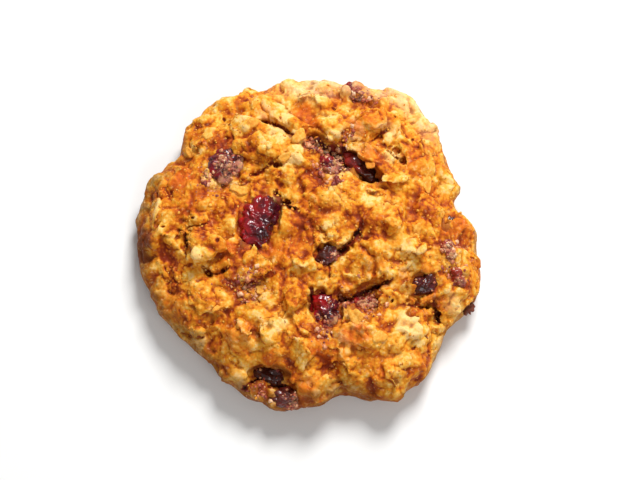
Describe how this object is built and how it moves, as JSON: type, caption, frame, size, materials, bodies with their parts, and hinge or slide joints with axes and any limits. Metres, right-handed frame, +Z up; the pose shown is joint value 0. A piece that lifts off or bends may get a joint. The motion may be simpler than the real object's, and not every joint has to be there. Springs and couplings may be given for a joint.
{
  "type": "oatmeal cookie",
  "caption": "Round, domed oatmeal cookie with a craggy golden crust, rolled oats fused to it and dried cranberries set in pockets.",
  "frame": {"origin": "on the flat base, under the middle of the outline", "axes": "+Z up out of the crown, which is the short way through; +X to the right and +Y away as in the picture"},
  "size_m": [0.0726, 0.0712, 0.0164],
  "materials": {
    "dough": "matte, baked, golden with orange-brown toasted patches",
    "cranberry": "wrinkled, half gloss, dark red to purple"
  },
  "bodies": {
    "root": {"dough": "dough", "cranberry_glossy": "cranberry", "cranberry_dusty": "cranberry", "cranberry_red": "cranberry", "cranberry_folded": "cranberry", "cranberry_crumbed": "cranberry", "cranberry_middle": "cranberry", "cranberry_red_side": "cranberry", "cranberry_dark": "cranberry", "cranberry_small": "cranberry", "cranberry_upper": "cranberry", "cranberry_pink": "cranberry", "cranberry_black": "cranberry", "cranberry_stain": "cranberry", "cranberry_front": "cranberry", "cranberry_back": "cranberry", "cranberry_edge_back": "cranberry", "cranberry_edge_right": "cranberry", "cranberry_edge_low": "cranberry"}
  },
  "joints": []
}
